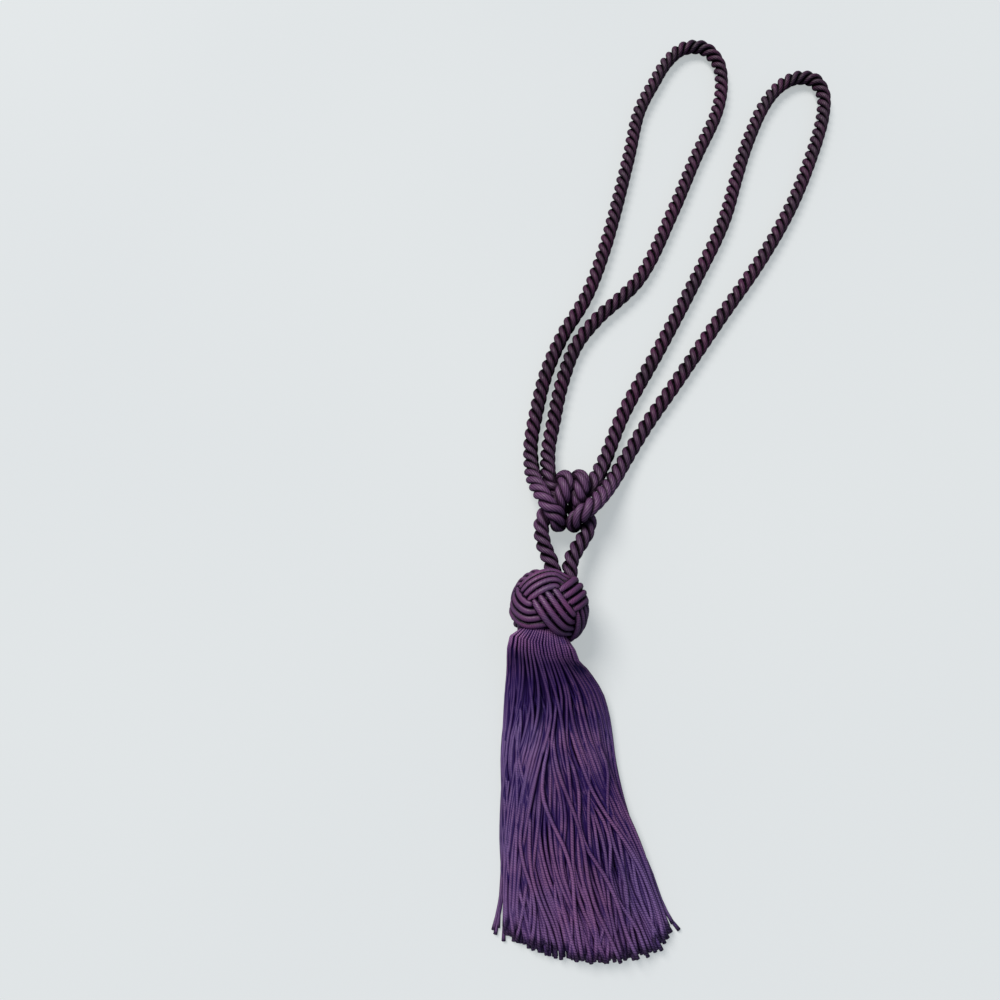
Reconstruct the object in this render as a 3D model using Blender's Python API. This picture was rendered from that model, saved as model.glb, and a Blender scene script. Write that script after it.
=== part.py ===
"""A curtain tieback with a tassel, lying on a flat surface.

One three-ply rope starts in the tassel's woven head, is knotted above it, runs out in
two long loops and comes back through the knot into the head. The head is a ball covered
by a four-cord Turk's head weave, and the skirt is a bundle of cut strands bound under it.

Metres, +Z up. The origin is the flat spot under the head, +X is across the tassel and
+Y runs from the skirt towards the loops.
"""

import math

import bmesh
import bpy
import numpy as np
from mathutils import Vector

MM = 0.001
GAP = 0.3 * MM  # left between pieces that touch

# Rope: three plies in an S lay.
PLIES = 3
ROPE_PITCH = 20 * MM
ROPE_STEPS_PER_TURN = 6
CREST_LOOSE, VALLEY_LOOSE = 4.55 * MM, 2.9 * MM  # radii where the rope lies free
CREST_TIGHT, VALLEY_TIGHT = 3.95 * MM, 3.0 * MM  # and where the knot squeezes it
TIGHT_BELOW_Y, LOOSE_ABOVE_Y = 95 * MM, 125 * MM

# Knot: two turns laid over the rope that runs through it.
TURN_RADIUS = 8.5
TURN_HEIGHT = 12.9
TURN_UPPER_Y, TURN_LOWER_Y = 66.3, 55.7
TURN_ANGLES = (55, 20, -15, -50, -85, -95, -130, -165, -200, -235)

# Head: a ball under a Turk's head of three leads and five bights.
HEAD_CENTRE = Vector((0.0, 0.0, 20.9 * MM))
HEAD_YAW = math.radians(12.8)  # of its axis, from +Y towards +X
HEAD_DIP = math.radians(5.0)  # of the neck end, below level
HEAD_ROLL = math.radians(4.5)
HEAD_CORE_RADIUS = 17.6 * MM
HEAD_END_FLAT = 17.0 * MM  # from the centre to the flat at either end
HEAD_DETAIL = 5
LEADS, BIGHTS = 3, 5
BIGHT_LATITUDE = math.radians(35)
CORDS_PER_BAND = 4
CORD_RADIUS = 2.05 * MM
CORD_SPACING = 3.95 * MM
CORD_LIE = 18.8 * MM  # mean distance of a cord's centre from the ball's
CORD_WEAVE = 0.75 * MM  # how far it rises and dips from that
FOOT_ANGLE = math.radians(15)  # half angle of the flat spot underneath

# Skirt: strands bound in a short plug.
PLUG_RADIUS = 14.6 * MM
PLUG_LENGTH = 4.6 * MM
PLUG_SIDES = 36
ROOT_DEPTH = 2.2 * MM  # how far a strand reaches into the plug
LAYER_STRANDS = (34, 33, 30, 27)  # from the lowest layer up
LAYER_SPREAD = (1.0, 0.97, 0.91, 0.8)
LAYER_SHORTER = (0.0, 1.5, 3.0, 5.0)
ROWS_PER_LAYER = 3
STRAND_SIDE_ROOT, STRAND_SIDE = 1.1 * MM, 1.9 * MM
HEM_TIP_Y, HEM_CORNER_Y = -173.5, -161.0
STRAND_WANDER = 0.9
# Each row: how far along the strand, the skirt's centre, its half width, the height of
# its underside, the pitch of its layers and how far the rows of a layer stand apart.
SKIRT_COLUMNS = ("along", "centre", "half_width", "lift", "pitch", "row_offset")
SKIRT_SECTIONS = (
    (0.09, -0.6, 21.6, 3.0, 6.7, 2.1),
    (0.21, 2.9, 26.8, 0.0, 5.7, 1.5),
    (0.38, 4.2, 28.6, 0.0, 4.9, 1.0),
    (0.60, 7.0, 32.9, 0.0, 4.1, 0.6),
    (0.80, 11.2, 37.5, 0.0, 3.5, 0.3),
    (1.00, 15.1, 44.3, 0.0, 2.9, 0.0),
)

# The rope's own route, in millimetres: x, y and the height of its centre.
NECK_LEFT = (
    (2.6, 18.6, 19.2),
    (0.9, 25.5, 17.4),
    (-1.8, 33.0, 15.6),
    (-3.3, 41.0, 13.8),
    (-3.1, 48.0, 12.8),
)
TAIL_LEFT = (
    (-0.6, 53.6, 12.5),
    (4.0, 56.8, 13.4),
    (7.6, 59.8, 17.4),
    (9.4, 65.0, 20.8),
)
BAND_LEFT = (
    (1.2, 55.0, 21.2),
    (-1.4, 60.0, 20.6),
    (-4.2, 66.0, 17.8),
    (-6.5, 72.4, 13.9),
    (-7.9, 80.0, 9.3),
)
LOOP_LEFT = (
    (-8.5, 90.0, 5.6),
    (-8.3, 100.0, 4.6),
    (-4.0, 123.3, 4.6),
    (1.8, 146.0, 4.6),
    (12.4, 171.4, 4.6),
    (27.8, 198.5, 4.6),
    (41.3, 235.0, 4.6),
    (59.8, 304.2, 4.6),
    (69.4, 344.2, 4.6),
    (80.8, 368.5, 4.6),
    (91.8, 388.0, 4.6),
    (104.0, 399.5, 4.6),
    (117.8, 399.8, 4.6),
    (127.0, 387.5, 4.6),
    (128.2, 368.0, 4.6),
    (123.0, 344.0, 4.6),
    (105.2, 305.0, 4.6),
    (86.5, 261.0, 4.6),
    (62.0, 211.5, 4.6),
    (34.0, 182.7, 4.6),
    (20.6, 164.5, 4.6),
    (10.9, 137.9, 4.6),
    (5.2, 112.0, 4.6),
    (2.2, 97.0, 5.4),
)
THROUGH_KNOT = (
    (1.3, 86.5, 7.6),
    (1.2, 78.5, 10.6),
    (2.0, 71.8, 12.4),
    (5.6, 67.2, 12.8),
    (11.0, 66.0, 12.8),
    (18.5, 66.6, 12.4),
    (23.4, 68.2, 12.0),
    (27.8, 73.4, 10.2),
    (31.7, 81.0, 7.6),
)
LOOP_RIGHT = (
    (36.4, 91.0, 5.4),
    (47.8, 118.3, 4.6),
    (71.6, 161.0, 4.6),
    (95.9, 206.4, 4.6),
    (119.5, 253.5, 4.6),
    (131.5, 289.0, 4.6),
    (140.5, 315.0, 4.6),
    (156.0, 349.0, 4.6),
    (168.5, 365.5, 4.6),
    (181.5, 373.2, 4.6),
    (193.0, 371.5, 4.6),
    (198.2, 360.0, 4.6),
    (196.4, 343.0, 4.6),
    (187.7, 316.5, 4.6),
    (166.9, 269.0, 4.6),
    (142.0, 226.5, 4.6),
    (112.5, 184.5, 4.6),
    (81.2, 139.2, 4.6),
    (61.0, 110.5, 4.6),
)
BAND_RIGHT = (
    (48.5, 90.5, 5.4),
    (40.0, 76.5, 8.2),
    (33.2, 66.4, 13.2),
    (28.0, 59.7, 18.2),
    (23.2, 54.6, 21.3),
    (18.6, 51.2, 20.6),
)
TAIL_RIGHT = (
    (18.5, 65.0, 20.8),
    (18.2, 60.0, 17.4),
    (19.9, 56.4, 13.7),
    (23.0, 51.8, 12.7),
)
NECK_RIGHT = (
    (23.5, 46.5, 12.7),
    (21.2, 40.5, 13.7),
    (16.2, 32.6, 15.6),
    (12.6, 25.5, 17.4),
    (11.2, 16.6, 19.2),
)


def remove_all():
    for thing in list(bpy.data.objects):
        bpy.data.objects.remove(thing, do_unlink=True)


def fabric(name, colour, roughness):
    made = bpy.data.materials.new(name)
    made.use_nodes = True
    shader = made.node_tree.nodes["Principled BSDF"]
    shader.inputs["Base Color"].default_value = (*colour, 1.0)
    shader.inputs["Roughness"].default_value = roughness
    shader.inputs["Metallic"].default_value = 0.0
    return made


def place(name, mesh, material):
    made = bpy.data.objects.new(name, mesh)
    bpy.context.scene.collection.objects.link(made)
    made.data.materials.append(material)
    return made


def smooth_through(points, samples_each=24):
    """Points along a smooth curve through the given ones."""
    points = np.array(points, float)
    knots = np.concatenate([[0.0], np.cumsum(np.sqrt(np.linalg.norm(np.diff(points, axis=0), axis=1)))])
    before = 2 * points[0] - points[1]
    after = 2 * points[-1] - points[-2]
    ring = np.vstack([before, points, after])
    times = np.concatenate([[2 * knots[0] - knots[1]], knots, [2 * knots[-1] - knots[-2]]])
    found = []
    for k in range(1, len(ring) - 2):
        p0, p1, p2, p3 = ring[k - 1 : k + 3]
        t0, t1, t2, t3 = times[k - 1 : k + 3]
        for t in np.linspace(t1, t2, samples_each, endpoint=False):
            a1 = (t1 - t) / (t1 - t0) * p0 + (t - t0) / (t1 - t0) * p1
            a2 = (t2 - t) / (t2 - t1) * p1 + (t - t1) / (t2 - t1) * p2
            a3 = (t3 - t) / (t3 - t2) * p2 + (t - t2) / (t3 - t2) * p3
            b1 = (t2 - t) / (t2 - t0) * a1 + (t - t0) / (t2 - t0) * a2
            b2 = (t3 - t) / (t3 - t1) * a2 + (t - t1) / (t3 - t1) * a3
            found.append((t2 - t) / (t2 - t1) * b1 + (t - t1) / (t2 - t1) * b2)
    found.append(points[-1])
    return np.array(found)


def even_steps(points, step):
    """The same line, cut into equal steps of about the given length."""
    along = np.concatenate([[0.0], np.cumsum(np.linalg.norm(np.diff(points, axis=0), axis=1))])
    count = max(2, round(along[-1] / step))
    wanted = np.linspace(0.0, along[-1], count + 1)
    return np.column_stack([np.interp(wanted, along, points[:, axis]) for axis in range(3)])


def turn(x_upper, x_lower, first, last):
    """A turn of the knot in the YZ plane, from its upper front round the back to its lower front."""
    found = []
    for angle in TURN_ANGLES:
        if not last <= angle <= first:
            continue
        share = (TURN_ANGLES[0] - angle) / (TURN_ANGLES[0] - TURN_ANGLES[-1])
        middle_y = TURN_UPPER_Y if angle > -90 else TURN_LOWER_Y
        found.append(
            (
                x_upper + share * (x_lower - x_upper),
                middle_y + TURN_RADIUS * math.cos(math.radians(angle)),
                TURN_HEIGHT + TURN_RADIUS * math.sin(math.radians(angle)),
            )
        )
    return found


def rope_route():
    """The rope's centre line, in metres, from the head and back to it."""
    left_turn = turn(10.8, 5.2, 55, -235)
    right_turn = turn(19.3, 14.0, 55, -200)
    points = [
        *NECK_LEFT,
        *TAIL_LEFT,
        *left_turn,
        *BAND_LEFT,
        *LOOP_LEFT,
        *THROUGH_KNOT,
        *LOOP_RIGHT,
        *BAND_RIGHT,
        *reversed(right_turn),
        *TAIL_RIGHT,
        *NECK_RIGHT,
    ]
    line = smooth_through(points) * MM
    return even_steps(line, ROPE_PITCH / ROPE_STEPS_PER_TURN)


def frames_along(line):
    """Two sideways directions at each point of a line, carried along it without spin."""
    ahead = np.gradient(line, axis=0)
    ahead /= np.linalg.norm(ahead, axis=1, keepdims=True)
    side = np.cross(ahead[0], (0.0, 0.0, 1.0))
    sides = []
    for direction in ahead:
        side = side - np.dot(side, direction) * direction
        side = side / np.linalg.norm(side)
        sides.append(side)
    sides = np.array(sides)
    return sides, np.cross(ahead, sides)


def tube_faces(mesh, rings):
    """Joins rings of vertices into a closed tube with flat ends."""
    for before, after in zip(rings[:-1], rings[1:]):
        for k in range(len(before)):
            n = (k + 1) % len(before)
            mesh.faces.new((before[k], before[n], after[n], after[k]))
    mesh.faces.new(list(reversed(rings[0])))
    mesh.faces.new(rings[-1])


def finish_mesh(name, mesh, smooth):
    bmesh.ops.recalc_face_normals(mesh, faces=mesh.faces)
    data = bpy.data.meshes.new(name)
    mesh.to_mesh(data)
    mesh.free()
    if smooth:
        data.shade_smooth()
    return data


def rope_mesh():
    line = rope_route()
    sides, ups = frames_along(line)
    mesh = bmesh.new()
    rings = []
    for k, (point, side, up) in enumerate(zip(line, sides, ups)):
        loose = min(1.0, max(0.0, (point[1] - TIGHT_BELOW_Y) / (LOOSE_ABOVE_Y - TIGHT_BELOW_Y)))
        crest = CREST_TIGHT + loose * (CREST_LOOSE - CREST_TIGHT)
        valley = VALLEY_TIGHT + loose * (VALLEY_LOOSE - VALLEY_TIGHT)
        point[2] = max(point[2], crest + 0.03 * MM)
        lay = -2 * math.pi * k / ROPE_STEPS_PER_TURN
        ring = []
        for corner in range(2 * PLIES):
            angle = lay + math.pi * corner / PLIES
            radius = valley if corner % 2 else crest
            ring.append(mesh.verts.new(point + radius * (math.cos(angle) * side + math.sin(angle) * up)))
        rings.append(ring)
    tube_faces(mesh, rings)
    return finish_mesh("rope", mesh, smooth=True)


def head_axes():
    """The head's own directions: across, towards its top and along its axis to the neck."""
    axis = Vector(
        (
            math.sin(HEAD_YAW) * math.cos(HEAD_DIP),
            math.cos(HEAD_YAW) * math.cos(HEAD_DIP),
            -math.sin(HEAD_DIP),
        )
    )
    top = (Vector((0.0, 0.0, 1.0)) - axis.z * axis).normalized()
    return axis.cross(top), top, axis


def band_cord(offset):
    """One of a band's cords: its direction from the ball's centre at each step, and its distance."""
    across, top, axis = (np.array(direction) for direction in head_axes())
    steps = np.linspace(0.0, 2 * math.pi, 420, endpoint=False)
    latitude = BIGHT_LATITUDE * np.cos(BIGHTS * steps)
    longitude = LEADS * steps + HEAD_ROLL
    level = np.cos(longitude)[:, None] * top + np.sin(longitude)[:, None] * across
    middle = np.cos(latitude)[:, None] * level + np.sin(latitude)[:, None] * axis
    ahead = np.roll(middle, -1, axis=0) - np.roll(middle, 1, axis=0)
    sideways = np.cross(middle, ahead)
    sideways /= np.linalg.norm(sideways, axis=1, keepdims=True)
    angle = offset / CORD_LIE
    direction = math.cos(angle) * middle + math.sin(angle) * sideways
    over = np.tanh(-2.4 * np.sin(2 * BIGHTS * steps))
    return direction, CORD_LIE + CORD_WEAVE * over


def head_mesh():
    """A ball whose surface is raised into the weave's cords and pressed flat where it lies."""
    mesh = bmesh.new()
    bmesh.ops.create_icosphere(mesh, subdivisions=HEAD_DETAIL, radius=1.0)
    ways = np.array([vertex.co.normalized() for vertex in mesh.verts])
    reach = np.full(len(ways), HEAD_CORE_RADIUS)
    for number in range(CORDS_PER_BAND):
        offset = (number - (CORDS_PER_BAND - 1) / 2) * CORD_SPACING
        directions, distances = band_cord(offset)
        away = np.arccos(np.clip(ways @ directions.T, -1.0, 1.0)) * CORD_LIE
        rise = np.sqrt(np.clip(CORD_RADIUS**2 - away**2, 0.0, None))
        surface = np.where(away < CORD_RADIUS, distances[None, :] + rise, 0.0)
        reach = np.maximum(reach, surface.max(axis=1))
    _, _, axis = head_axes()
    along = np.abs(ways @ np.array(axis))
    reach = np.minimum(reach, HEAD_END_FLAT / np.maximum(along, 1e-6))
    for vertex, way, distance in zip(mesh.verts, ways, reach):
        vertex.co = HEAD_CENTRE + Vector(way) * distance
        if vertex.co.z < 0.0 or way[2] < -math.cos(FOOT_ANGLE):
            vertex.co.z = 0.0
    return finish_mesh("head", mesh, smooth=True)


def skirt_section(share):
    """The skirt's measures at a share of its length, in millimetres."""
    shares = [row[0] for row in SKIRT_SECTIONS]
    return {
        column: float(np.interp(share, shares, [row[k] for row in SKIRT_SECTIONS]))
        for k, column in enumerate(SKIRT_COLUMNS)
    }


def strand_root(across_share, up_share):
    """Where a strand leaves the plug: a square of shares laid over the plug's round face."""
    across, top, axis = head_axes()
    wide = across_share * math.sqrt(1 - up_share**2 / 2)
    high = up_share * math.sqrt(1 - across_share**2 / 2)
    reach = PLUG_RADIUS - 1.3 * MM
    depth = HEAD_END_FLAT + GAP + PLUG_LENGTH - ROOT_DEPTH
    return HEAD_CENTRE - axis * depth + reach * (wide * across + high * top)


def strand_line(layer, number):
    """A strand's points from its root to its cut end, and its width at each."""
    count = LAYER_STRANDS[layer]
    row = number % ROWS_PER_LAYER - 1
    across_share = (2 * number + 1) / count - 1
    layers = len(LAYER_STRANDS)
    up_share = ((layer + 0.5) * 2 / layers - 1) + row * 2 / (layers * ROWS_PER_LAYER)
    root = strand_root(across_share * 0.97, up_share)
    root_y = root.y / MM
    hem_y = HEM_TIP_Y + (HEM_CORNER_Y - HEM_TIP_Y) * abs(across_share) ** 2.2 + LAYER_SHORTER[layer]
    hem_y += 1.2 * math.sin(2.1 * number + 1.7 * layer)
    points = [root]
    sides = [STRAND_SIDE_ROOT]
    for share in (line[0] for line in SKIRT_SECTIONS):
        size = skirt_section(share)
        side = STRAND_SIDE_ROOT + (STRAND_SIDE - STRAND_SIDE_ROOT) * min(1.0, share / 0.6)
        wander = STRAND_WANDER * share * math.sin(9 * share + 1.3 * layer + 2.2 * across_share)
        x = size["centre"] + across_share * size["half_width"] * LAYER_SPREAD[layer] + wander
        foot = side / math.sqrt(12) / MM  # a triangle's middle above its flat side
        z = size["lift"] + foot + layer * size["pitch"] + (row + 1) * size["row_offset"]
        points.append(Vector((x, root_y + share * (hem_y - root_y), z)) * MM)
        sides.append(side)
    return points, sides


def strands_mesh():
    """All strands, each a three-sided bar with its flat side down."""
    mesh = bmesh.new()
    corners = (
        Vector((-0.5, 0.0, -1 / math.sqrt(12))),
        Vector((0.5, 0.0, -1 / math.sqrt(12))),
        Vector((0.0, 0.0, 1 / math.sqrt(3))),
    )
    for layer, count in enumerate(LAYER_STRANDS):
        for number in range(count):
            points, sides = strand_line(layer, number)
            rings = []
            for point, side in zip(points, sides):
                rings.append([mesh.verts.new(point + side * corner) for corner in corners])
            tube_faces(mesh, rings)
    return finish_mesh("strands", mesh, smooth=False)


def plug_mesh():
    """The bound top of the skirt, a short round plug under the head."""
    _, _, axis = head_axes()
    mesh = bmesh.new()
    bmesh.ops.create_cone(
        mesh,
        cap_ends=True,
        segments=PLUG_SIDES,
        radius1=PLUG_RADIUS,
        radius2=PLUG_RADIUS - 1.2 * MM,
        depth=PLUG_LENGTH,
    )
    middle = HEAD_CENTRE - axis * (HEAD_END_FLAT + GAP + PLUG_LENGTH / 2)
    turned = Vector((0.0, 0.0, 1.0)).rotation_difference(axis)
    bmesh.ops.rotate(mesh, verts=mesh.verts, cent=(0, 0, 0), matrix=turned.to_matrix())
    bmesh.ops.translate(mesh, verts=mesh.verts, vec=middle)
    return finish_mesh("skirt", mesh, smooth=False)


def skirt(material):
    """The plug with every strand fused into it."""
    made = place("skirt", plug_mesh(), material)
    strands = place("strands_to_join", strands_mesh(), material)
    strands.hide_render = True
    strands.display_type = "WIRE"
    join = made.modifiers.new("join_strands", "BOOLEAN")
    join.operation = "UNION"
    join.solver = "EXACT"
    join.use_self = True
    join.object = strands
    return made


def main():
    remove_all()
    place("rope", rope_mesh(), fabric("rope_rayon", (0.055, 0.022, 0.045), 0.55))
    place("head", head_mesh(), fabric("head_cord", (0.085, 0.030, 0.070), 0.5))
    skirt(fabric("skirt_strands", (0.070, 0.026, 0.080), 0.55))


main()
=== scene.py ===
import math
import random

import bmesh
import bpy
import numpy as np
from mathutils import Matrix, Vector
from mathutils.bvhtree import BVHTree


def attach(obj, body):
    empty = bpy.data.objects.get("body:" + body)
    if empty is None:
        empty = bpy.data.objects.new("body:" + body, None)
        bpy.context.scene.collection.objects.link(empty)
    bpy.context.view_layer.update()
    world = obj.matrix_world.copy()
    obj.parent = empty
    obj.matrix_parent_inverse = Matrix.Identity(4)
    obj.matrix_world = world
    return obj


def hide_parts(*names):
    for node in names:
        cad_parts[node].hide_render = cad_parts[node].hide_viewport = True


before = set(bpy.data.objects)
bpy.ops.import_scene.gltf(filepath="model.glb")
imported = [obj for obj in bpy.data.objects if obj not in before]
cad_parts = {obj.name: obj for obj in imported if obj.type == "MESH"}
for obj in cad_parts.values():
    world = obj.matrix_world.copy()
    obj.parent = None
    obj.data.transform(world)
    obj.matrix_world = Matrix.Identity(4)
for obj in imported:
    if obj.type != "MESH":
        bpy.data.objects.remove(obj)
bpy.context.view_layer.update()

mm = 0.001
scene = bpy.context.scene

# camera, close above the tassel and tilted a little towards the loops
view = {"place": (-0.0268, -0.0605, 0.4255), "tilt": 16.5, "lens": 27, "sensor": 36, "nearest": 0.01}
cameraData = bpy.data.cameras.new("camera")
cameraData.lens = view["lens"]
cameraData.sensor_width = view["sensor"]
cameraData.clip_start = view["nearest"]
camera = bpy.data.objects.new("camera", cameraData)
camera.location = view["place"]
camera.rotation_euler = (math.radians(view["tilt"]), 0, 0)
scene.collection.objects.link(camera)
scene.camera = camera
scene.view_settings.view_transform = "Standard"
print("camera placed")


def smoothLine(points, each=24):
    # points along a smooth curve through the given ones, in metres
    points = np.array(points, float)
    gaps = np.sqrt(np.linalg.norm(np.diff(points, axis=0), axis=1))
    at = np.concatenate([[0.0], np.cumsum(gaps)])
    ends = (2 * points[0] - points[1], 2 * points[-1] - points[-2])
    ring = np.vstack([ends[0], points, ends[1]])
    times = np.concatenate([[2 * at[0] - at[1]], at, [2 * at[-1] - at[-2]]])
    found = []
    for k in range(1, len(ring) - 2):
        p0, p1, p2, p3 = ring[k - 1 : k + 3]
        t0, t1, t2, t3 = times[k - 1 : k + 3]
        t = np.linspace(t1, t2, each, endpoint=False)[:, None]
        a1 = (t1 - t) / (t1 - t0) * p0 + (t - t0) / (t1 - t0) * p1
        a2 = (t2 - t) / (t2 - t1) * p1 + (t - t1) / (t2 - t1) * p2
        a3 = (t3 - t) / (t3 - t2) * p2 + (t - t2) / (t3 - t2) * p3
        b1 = (t2 - t) / (t2 - t0) * a1 + (t - t0) / (t2 - t0) * a2
        b2 = (t3 - t) / (t3 - t1) * a2 + (t - t1) / (t3 - t1) * a3
        found.extend((t2 - t) / (t2 - t1) * b1 + (t - t1) / (t2 - t1) * b2)
    found.append(points[-1])
    return np.array(found) * mm


def evenSteps(line, step):
    along = np.concatenate([[0.0], np.cumsum(np.linalg.norm(np.diff(line, axis=0), axis=1))])
    wanted = np.linspace(0.0, along[-1], max(2, round(along[-1] / step)) + 1)
    return np.column_stack([np.interp(wanted, along, line[:, axis]) for axis in range(3)])


def lineLength(line):
    return float(np.linalg.norm(np.diff(line, axis=0), axis=1).sum())


def sidesAlong(line):
    # two sideways directions at each point, carried along without spin
    ahead = np.gradient(line, axis=0)
    ahead /= np.linalg.norm(ahead, axis=1, keepdims=True)
    side = np.cross(ahead[0], (0.0, 0.0, 1.0))
    sides = []
    for way in ahead:
        side = side - np.dot(side, way) * way
        side = side / np.linalg.norm(side)
        sides.append(side)
    sides = np.array(sides)
    return sides, np.cross(ahead, sides)


def tubesMesh(name, lines, radius, resolution, widths=None, closed=False):
    # round tubes along the lines, as one mesh whose UV runs along and round each tube
    curve = bpy.data.curves.new(name + "Lines", "CURVE")
    curve.dimensions = "3D"
    curve.bevel_depth = radius
    curve.bevel_resolution = resolution
    curve.use_fill_caps = not closed
    for number, line in enumerate(lines):
        spline = curve.splines.new("POLY")
        spline.points.add(len(line) - 1)
        spline.points.foreach_set("co", np.column_stack([line, np.ones(len(line))]).ravel())
        spline.use_cyclic_u = closed
        if widths is not None:
            spline.points.foreach_set("radius", widths[number])
    holder = bpy.data.objects.new(name + "Lines", curve)
    scene.collection.objects.link(holder)
    bpy.context.view_layer.update()
    mesh = bpy.data.meshes.new_from_object(holder.evaluated_get(bpy.context.evaluated_depsgraph_get()))
    bpy.data.objects.remove(holder)
    mesh.name = name
    return mesh


def giveTones(bm, tones):
    # gives each tube its own tone from 0 to 1, in the order of the lines
    tone = bm.verts.layers.float.new("tone")
    seen = set()
    number = 0
    for start in bm.verts:
        if start in seen:
            continue
        value = tones[min(number, len(tones) - 1)]
        number += 1
        seen.add(start)
        reached = [start]
        while reached:
            vertex = reached.pop()
            vertex[tone] = value
            for edge in vertex.link_edges:
                other = edge.other_vert(vertex)
                if other not in seen:
                    seen.add(other)
                    reached.append(other)


def giveShelter(bm, reach, rays=12):
    # measures how closed in each point is, from 0 in the open to 1 deep between the strands, for the painted
    # shade
    tree = BVHTree.FromBMesh(bm)
    shelter = bm.verts.layers.float.new("shelter")
    ways = []
    for k in range(rays):
        height = math.sqrt(1 - (k + 0.5) / rays)
        turn = k * math.pi * (3 - math.sqrt(5))
        flat = math.sqrt(1 - height * height)
        ways.append((flat * math.cos(turn), flat * math.sin(turn), height))
    for vertex in bm.verts:
        out = vertex.normal
        side = out.orthogonal().normalized()
        other = out.cross(side)
        start = vertex.co + out * 0.03 * mm
        closed = 0.0
        for a, b, c in ways:
            distance = tree.ray_cast(start, side * a + other * b + out * c, reach)[3]
            if distance is not None:
                closed += 1 - 0.5 * distance / reach
        vertex[shelter] = closed / rays


def finishTubes(mesh, tones, reach):
    # closes the tubes' ends and gives them their tones and shelter
    bm = bmesh.new()
    bm.from_mesh(mesh)
    bmesh.ops.remove_doubles(bm, verts=bm.verts, dist=1e-6)
    bmesh.ops.recalc_face_normals(bm, faces=bm.faces)
    giveTones(bm, tones)
    giveShelter(bm, reach)
    bm.to_mesh(mesh)
    bm.free()


def addPiece(name, mesh, material, slot, *nodes):
    piece = bpy.data.objects.new(name, mesh)
    scene.collection.objects.link(piece)
    mesh.materials.clear()
    mesh.materials.append(material)
    mesh.shade_smooth()
    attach(piece, "root")
    if nodes:
        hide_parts(*nodes)
    return piece


def newGroup(name, inputs, outputs):
    group = bpy.data.node_groups.new(name, "ShaderNodeTree")
    for label, kind, value in inputs:
        socket = group.interface.new_socket(name=label, in_out="INPUT", socket_type=kind)
        if value is not None:
            socket.default_value = value
    for label, kind in outputs:
        group.interface.new_socket(name=label, in_out="OUTPUT", socket_type=kind)
    return group, group.nodes.new("NodeGroupInput"), group.nodes.new("NodeGroupOutput")


def mathNode(tree, operation, *values):
    node = tree.nodes.new("ShaderNodeMath")
    node.operation = operation
    for k, value in enumerate(values):
        if isinstance(value, (int, float)):
            node.inputs[k].default_value = value
        else:
            tree.links.new(value, node.inputs[k])
    return node.outputs[0]


def rangeNode(tree, value, low, high, toLow, toHigh):
    node = tree.nodes.new("ShaderNodeMapRange")
    tree.links.new(value, node.inputs["Value"])
    for label, amount in (("From Min", low), ("From Max", high), ("To Min", toLow), ("To Max", toHigh)):
        node.inputs[label].default_value = amount
    return node.outputs["Result"]


def noiseNode(tree, vector, scale, detail=3.0, roughness=0.55):
    node = tree.nodes.new("ShaderNodeTexNoise")
    node.inputs["Scale"].default_value = scale
    node.inputs["Detail"].default_value = detail
    node.inputs["Roughness"].default_value = roughness
    tree.links.new(vector, node.inputs["Vector"])
    return node.outputs["Fac"]


# a finish without what only some pieces have
plainFinish = {
    "warmFrom": (0.0, 0.1),  # where along Y a warmer colour starts, and where it is at its full warmth
    "warmth": 0.0,
    "warm": (0.0, 0.0, 0.0),
    "toneRange": 0.0,  # how much lighter and darker single strands are
    "lowPaintedShade": 0.0,  # how much of the deep colour, as painted shade, the lowest strands take
    "paintedHollowShade": 0.0,  # how much of it, as painted shade, the hollows between locks take
    "bandAt": 0.0,  # a band across the piece, with more or less painted shade and a lighter or darker colour than the rest
    "bandHalf": 0.01,
    "bandPaintedShade": 0.0,
    "bandLift": 1.0,
    "hemShade": 1.0,  # how much of the painted shade is left at the hem
    "darkTip": 0.0,
    "shine": 0.2,
}

# what all the dyed yarn has in common
yarn = {
    "fuzzScale": 1400.0,
    "toneTurns": 37.0,  # turns of twist between the darkest strand and the lightest
    "crown": 0.6,  # under 1 for full yarns with narrow lines between them
    "lineEdge": (0.2, 1.0),
    "patchEdge": (0.38, 0.62),
    "bandCore": 0.004,
    "bandOnPatch": 0.45,  # how much of the band's painted shade the patches take
    "tipEdge": (0.975, 0.99),  # where along a strand its dark cut end begins
    "lowTones": (0.0, 0.6),
    "hollowScale": 62.0,
    "hollowEdge": (0.5, 0.64),
    "hollowTones": (0.3, 0.85),
    "hollowOnTop": 0.15,
    "hemFade": (-0.165, -0.11),
    "grainScale": 700.0,
    "grainEdge": (0.3, 0.7),
    "roughSpread": (-0.06, 0.08),
    "glossEdge": (0.1, 0.8),
    "glossInLines": 0.15,
    "glossGrain": (0.35, 0.65),
    "glossLeast": 0.4,
}


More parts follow.
